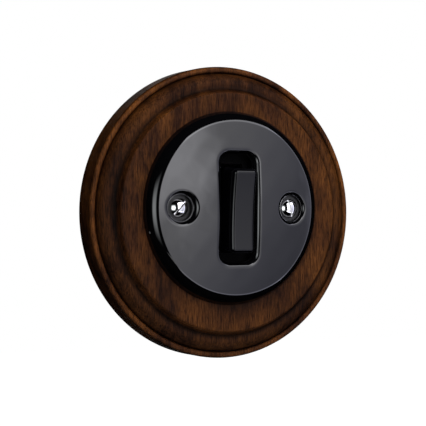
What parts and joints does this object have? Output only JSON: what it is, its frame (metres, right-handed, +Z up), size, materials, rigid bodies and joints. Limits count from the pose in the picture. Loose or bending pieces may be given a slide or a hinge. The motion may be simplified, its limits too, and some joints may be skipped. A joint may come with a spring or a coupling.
{
  "type": "light switch",
  "caption": "Round flush light switch: domed black ceramic cover with a narrow rocker key on a turned dark wooden frame, for a round wall box.",
  "frame": {"origin": "on the switch axis in the wall plane, at the back face of the support plate", "axes": "+Z up the wall, front faces -Y, +X to the right as seen from the front, +Y into the wall"},
  "size_m": [0.11, 0.0479, 0.11],
  "materials": {
    "dark_wood": "turned hardwood, dark walnut stain, satin",
    "black_glaze": "black gloss glaze",
    "black_key": "black gloss moulding",
    "black_moulding": "black moulded insulation",
    "bright_screw": "nickel plated",
    "steel": "zinc plated sheet and pins",
    "brass": "plain brass",
    "silver": "silver contact points"
  },
  "bodies": {
    "fixed": {"wooden_frame": "dark_wood", "ceramic_cover": "black_glaze", "cover_screw_left": "bright_screw", "cover_screw_right": "bright_screw", "pillar_left": "steel", "pillar_right": "steel", "support_plate": "steel", "mechanism_cap": "black_moulding", "mechanism_base": "black_moulding", "assembly_screws": "steel", "key_pin": "steel", "contact_pin": "steel", "upper_contact": "brass", "lower_contact": "brass", "common_bracket": "brass", "upper_terminal": "brass", "lower_terminal": "brass", "common_terminal": "brass", "clamp_screws": "steel"},
    "key": {"rocker_key": "black_key", "toggle_plunger": "brass", "toggle_spring": "steel"},
    "contact_lever": {"contact_rocker": "brass", "moving_contacts": "silver"}
  },
  "joints": [
    {"name": "key_tilt", "type": "hinge", "parent": "fixed", "child": "key", "pos_m": [0, -0.0105, 0], "axis": [-1, 0, 0], "range_deg": [0, 8.6]},
    {"name": "contact_tilt", "type": "hinge", "parent": "fixed", "child": "contact_lever", "pos_m": [0, 0.005, 0], "axis": [-1, 0, 0], "range_deg": [-17.2, 0]}
  ],
  "couplings": [
    {"joint": "contact_tilt", "follows": "key_tilt", "ratio": -2}
  ]
}
